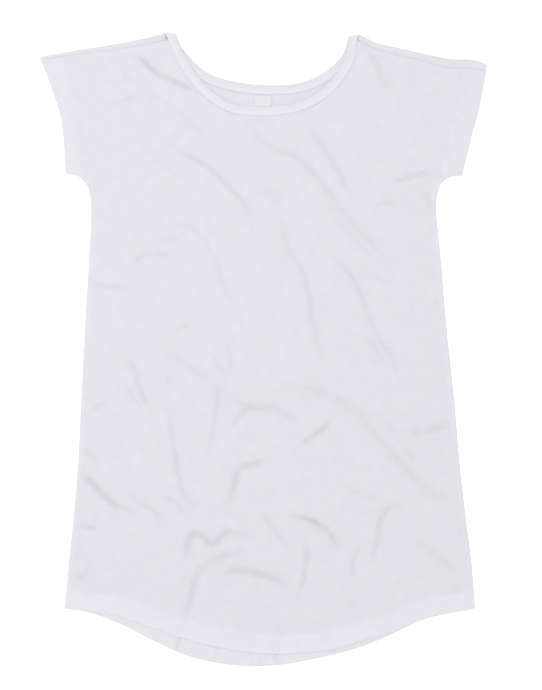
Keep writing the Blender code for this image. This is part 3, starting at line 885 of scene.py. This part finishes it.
hem_stitches = stitch_object(
    "hem_stitches", [inset(FRONT_HEM, -23.5), inset(FRONT_HEM, -18.5)], front_height)
cuff_stitches = stitch_object(
    "sleeve_stitches",
    [inset(line, distance, 0.03) for line, sign in ((LEFT_CUFF, 1), (RIGHT_CUFF, -1))
     for distance in (sign * 24.0, sign * 19.5)], front_height)
neck_stitches = stitch_object(
    "neck_stitches", [inset(FRONT_NECK, BAND_WIDTH + 2.0, 0.03)], front_height)

# %% [markdown]
# ## Materials
#
# White cotton jersey scatters light almost evenly and has a faint bloom of loose fibres, which
# the sheen gives. Its loops are finer than a picture of a whole dress can show, so they are only
# a slight bump. Where two layers lie on each other less light gets through, and the cloth looks
# a little lighter: the `doubled` value on the mesh says where.

# %% Material helpers
def linear(hex_colour):
    """An sRGB colour such as #e6e5eb as the linear colour that shaders use."""
    parts = [int(hex_colour[k:k + 2], 16) / 255 for k in (1, 3, 5)]
    values = [part / 12.92 if part <= 0.04045 else ((part + 0.055) / 1.055) ** 2.4 for part in parts]
    return (*values, 1.0)


def add_node(tree, kind, settings=None, links=None, values=None):
    """Add a node, set its properties and input values, and link its inputs."""
    node = tree.nodes.new(kind)
    for key, value in (settings or {}).items():
        setattr(node, key, value)
    for key, value in (values or {}).items():
        node.inputs[key].default_value = value
    for key, source in (links or {}).items():
        tree.links.new(source, node.inputs[key])
    return node


def new_material(name, roughness, sheen):
    material = bpy.data.materials.new(name)
    material.use_nodes = True
    shader = material.node_tree.nodes["Principled BSDF"]
    shader.inputs["Roughness"].default_value = roughness
    shader.inputs["Specular IOR Level"].default_value = 0.3
    shader.inputs["Sheen Weight"].default_value = sheen
    shader.inputs["Sheen Roughness"].default_value = 0.6
    return material, material.node_tree, shader


# %% [markdown]
# The jersey's colour comes from the `doubled` value, a mottling of one or two percent, as thin
# and thick yarn give, and painted shade along the creases: the colour is darkened along each
# trough, most along the hardest. The bump adds knitted loops to the fuzz of the yarn. Real loops
# are 0.7 mm apart. They are drawn 1.5 mm apart here, because finer ones would vanish.

# %% Cotton jersey
JERSEY_SINGLE = "#e4e3e9"
JERSEY_DOUBLED = "#e9e8ee"
# painted shade: the colour is this much darker at the bottom of the hardest crease
PAINTED_CREASE_SHADE = 0.14
WALE = 0.0015            # distance between columns of loops
COURSE = 0.0012          # distance between rows of loops


def knit_height(tree, wale, course):
    """Height of knitted loops: rounded columns crossed by slanting loops."""
    uv = add_node(tree, "ShaderNodeUVMap", {"uv_map": "cloth"})
    split = add_node(tree, "ShaderNodeSeparateXYZ", links={"Vector": uv.outputs["UV"]})
    across = add_node(tree, "ShaderNodeMath", {"operation": "DIVIDE"},
                      {0: split.outputs["X"]}, {1: wale})
    column = add_node(tree, "ShaderNodeMath", {"operation": "PINGPONG"},
                      {0: across.outputs[0]}, {1: 0.5})
    up = add_node(tree, "ShaderNodeMath", {"operation": "DIVIDE"},
                  {0: split.outputs["Y"]}, {1: course})
    slant = add_node(tree, "ShaderNodeMath", {"operation": "MULTIPLY_ADD"},
                     {0: column.outputs[0], 2: up.outputs[0]}, {1: 1.4})
    loop = add_node(tree, "ShaderNodeMath", {"operation": "PINGPONG"},
                    {0: slant.outputs[0]}, {1: 0.5})
    return add_node(tree, "ShaderNodeMath", {"operation": "MULTIPLY_ADD"},
                    {0: column.outputs[0], 2: loop.outputs[0]}, {1: 1.3})


def make_jersey():
    material, tree, shader = new_material("cotton jersey", 0.92, 0.12)
    place = add_node(tree, "ShaderNodeTexCoord")
    doubled = add_node(tree, "ShaderNodeAttribute", {"attribute_name": "doubled"})
    layers = add_node(tree, "ShaderNodeMix", {"data_type": "RGBA"},
                      {"Factor": doubled.outputs["Fac"]},
                      {6: linear(JERSEY_SINGLE), 7: linear(JERSEY_DOUBLED)})
    mottling = add_node(tree, "ShaderNodeTexNoise", links={"Vector": place.outputs["Object"]},
                        values={"Scale": 60.0, "Detail": 5.0, "Roughness": 0.75})
    shade = add_node(tree, "ShaderNodeMapRange", links={"Value": mottling.outputs["Fac"]},
                     values={"From Min": 0.3, "From Max": 0.7, "To Min": 0.973, "To Max": 1.027})
    # painted shade along the creases, taken off the mottled colour
    crease_shade = add_node(tree, "ShaderNodeAttribute", {"attribute_name": "crease_shade"})
    mottling_and_crease_shade = add_node(tree, "ShaderNodeMath", {"operation": "MULTIPLY_ADD"},
                       {0: crease_shade.outputs["Fac"], 2: shade.outputs["Result"]}, {1: -PAINTED_CREASE_SHADE})
    colour = add_node(tree, "ShaderNodeVectorMath", {"operation": "SCALE"},
                      {0: layers.outputs["Result"], "Scale": mottling_and_crease_shade.outputs[0]})
    loops = knit_height(tree, WALE, COURSE)
    fuzz = add_node(tree, "ShaderNodeTexNoise", links={"Vector": place.outputs["Object"]},
                    values={"Scale": 900.0, "Detail": 3.0, "Roughness": 0.7})
    surface = add_node(tree, "ShaderNodeMath", {"operation": "MULTIPLY_ADD"},
                       {0: fuzz.outputs["Fac"], 2: loops.outputs[0]}, {1: 0.8})
    bump = add_node(tree, "ShaderNodeBump", links={"Height": surface.outputs[0]},
                    values={"Strength": 0.35, "Distance": 0.00012})
    tree.links.new(colour.outputs[0], shader.inputs["Base Color"])
    tree.links.new(bump.outputs["Normal"], shader.inputs["Normal"])
    return material


# %% [markdown]
# Rib knit has ridges across the band. They are spaced 2 mm apart and run over its whole width.
# Its `doubled` value grows towards the seam, and the band's colour gets lighter with it.

# %% Cotton rib
RIB_PITCH = 0.002


def make_rib():
    material, tree, shader = new_material("cotton rib", 0.92, 0.12)
    doubled = add_node(tree, "ShaderNodeAttribute", {"attribute_name": "doubled"})
    layers = add_node(tree, "ShaderNodeMix", {"data_type": "RGBA", "clamp_factor": False},
                      {"Factor": doubled.outputs["Fac"]},
                      {6: linear(JERSEY_SINGLE), 7: linear(JERSEY_DOUBLED)})
    tree.links.new(layers.outputs["Result"], shader.inputs["Base Color"])
    uv = add_node(tree, "ShaderNodeUVMap", {"uv_map": "cloth"})
    split = add_node(tree, "ShaderNodeSeparateXYZ", links={"Vector": uv.outputs["UV"]})
    across = add_node(tree, "ShaderNodeMath", {"operation": "DIVIDE"},
                      {0: split.outputs["X"]}, {1: RIB_PITCH})
    ridge = add_node(tree, "ShaderNodeMath", {"operation": "PINGPONG"},
                     {0: across.outputs[0]}, {1: 0.5})
    place = add_node(tree, "ShaderNodeTexCoord")
    fuzz = add_node(tree, "ShaderNodeTexNoise", links={"Vector": place.outputs["Object"]},
                    values={"Scale": 900.0, "Detail": 3.0, "Roughness": 0.7})
    surface = add_node(tree, "ShaderNodeMath", {"operation": "MULTIPLY_ADD"},
                       {0: ridge.outputs[0], 2: fuzz.outputs["Fac"]}, {1: 2.0})
    bump = add_node(tree, "ShaderNodeBump", links={"Height": surface.outputs[0]},
                    values={"Strength": 0.5, "Distance": 0.0002})
    tree.links.new(bump.outputs["Normal"], shader.inputs["Normal"])
    return material


# %% [markdown]
# Sewing thread is polyester, smoother than cotton, and label tape is a fine satin weave that
# shines a little along its length.

# %% Thread and tape
def make_thread():
    material, tree, shader = new_material("polyester sewing thread", 0.5, 0.1)
    place = add_node(tree, "ShaderNodeTexCoord")
    twist = add_node(tree, "ShaderNodeTexNoise", links={"Vector": place.outputs["Object"]},
                     values={"Scale": 1400.0, "Detail": 1.0})
    colour = add_node(tree, "ShaderNodeMix", {"data_type": "RGBA"},
                      {"Factor": twist.outputs["Fac"]},
                      {6: linear("#dcdbe1"), 7: linear("#e8e7ed")})
    tree.links.new(colour.outputs["Result"], shader.inputs["Base Color"])
    return material


def make_tape():
    material, tree, shader = new_material("woven satin label tape", 0.45, 0.2)
    uv = add_node(tree, "ShaderNodeUVMap", {"uv_map": "cloth"})
    weave = add_node(tree, "ShaderNodeTexWave", {"bands_direction": "Y"},
                     {"Vector": uv.outputs["UV"]}, {"Scale": 520.0, "Distortion": 1.0})
    colour = add_node(tree, "ShaderNodeMix", {"data_type": "RGBA"},
                      {"Factor": weave.outputs["Fac"]},
                      {6: linear("#dfdfe4"), 7: linear("#e9e9ee")})
    bump = add_node(tree, "ShaderNodeBump", links={"Height": weave.outputs["Fac"]},
                    values={"Strength": 0.3, "Distance": 0.0001})
    tree.links.new(colour.outputs["Result"], shader.inputs["Base Color"])
    tree.links.new(bump.outputs["Normal"], shader.inputs["Normal"])
    return material


jersey, rib, thread, tape = make_jersey(), make_rib(), make_thread(), make_tape()

# %% [markdown]
# ## Join the pieces to the frame
#
# Every piece rides on the one body, stands for its plain solid and gets its material.

# %% Ride and replace
for piece, material, slot in (
        (front, jersey, "jersey"), (back, jersey, "jersey"), (band, rib, "rib"),
        (neck_label, tape, "label_tape"), (care_label, tape, "label_tape"),
        (hem_stitches, thread, "jersey"), (cuff_stitches, thread, "jersey"),
        (neck_stitches, thread, "rib")):
    piece.data.materials.append(material)
    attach(piece, "root")

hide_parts("front")
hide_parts("back")
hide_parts("neckband_front", "neckband_back")
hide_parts("neck_label")
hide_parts("care_label")

# %% [markdown]
# ## The studio
#
# A white sweep under a dome of soft light, with a large softbox straight overhead. Light from
# above darkens both walls of a crease alike. A small lamp at the upper left adds a twentieth,
# so that the cloth gets a little darker towards the lower right.

# %% Floor and lights
FLOOR_SIZE = 60.0
bm = bmesh.new()
bmesh.ops.create_grid(bm, x_segments=1, y_segments=1, size=FLOOR_SIZE / 2)
floor_mesh = bpy.data.meshes.new("floor")
bm.to_mesh(floor_mesh)
bm.free()
floor = bpy.data.objects.new("floor", floor_mesh)
bpy.context.scene.collection.objects.link(floor)

SWEEP_GLOW = 0.3
sweep, _, sweep_shader = new_material("white paper sweep", 0.9, 0.0)
sweep_shader.inputs["Base Color"].default_value = (0.95, 0.95, 0.95, 1.0)
sweep_shader.inputs["Emission Color"].default_value = (1.0, 1.0, 1.0, 1.0)
sweep_shader.inputs["Emission Strength"].default_value = SWEEP_GLOW
floor_mesh.materials.append(sweep)

world = bpy.data.worlds.new("light dome")
bpy.context.scene.world = world
world.use_nodes = True
sky_tree = world.node_tree
direction = add_node(sky_tree, "ShaderNodeTexCoord")
up = add_node(sky_tree, "ShaderNodeSeparateXYZ", links={"Vector": direction.outputs["Generated"]})
fade = add_node(sky_tree, "ShaderNodeMapRange", {"interpolation_type": "SMOOTHSTEP"},
                {"Value": up.outputs["Z"]},
                {"From Min": 0.12, "From Max": 0.45, "To Min": 1.05, "To Max": 0.42})
sky_tree.links.new(fade.outputs["Result"], sky_tree.nodes["Background"].inputs["Strength"])
sky_tree.nodes["Background"].inputs["Color"].default_value = (1.0, 1.0, 1.0, 1.0)


def soft_lamp(name, place, size, power):
    """A square area lamp that points at the middle of the dress."""
    data = bpy.data.lights.new(name, "AREA")
    data.shape = "SQUARE"
    data.size = size
    data.energy = power
    lamp = bpy.data.objects.new(name, data)
    lamp.location = place
    lamp.rotation_euler = (-Vector(place)).to_track_quat("-Z", "Y").to_euler()
    bpy.context.scene.collection.objects.link(lamp)
    return lamp


soft_lamp("overhead softbox", (-0.3, 0.3, 6.0), 3.0, 186.0)
soft_lamp("small lamp at the left", (-0.85, 0.65, 1.5), 0.7, 2.4)

# %% [markdown]
# ## Camera
#
# The camera looks straight down. A long lens from nearly three metres keeps the outline free of
# perspective.

# %% Camera
VIEW_HEIGHT = 0.9767     # metres of floor from the top to the bottom of the picture
LENS = 100.0
SENSOR = 36.0

camera_data = bpy.data.cameras.new("camera")
camera_data.lens = LENS
camera_data.sensor_width = SENSOR
camera = bpy.data.objects.new("camera", camera_data)
camera.location = (0.0107, 0.0061, VIEW_HEIGHT * LENS / SENSOR)
bpy.context.scene.collection.objects.link(camera)
bpy.context.scene.camera = camera
bpy.context.scene.view_settings.view_transform = "Standard"
bpy.context.scene.view_settings.look = "None"
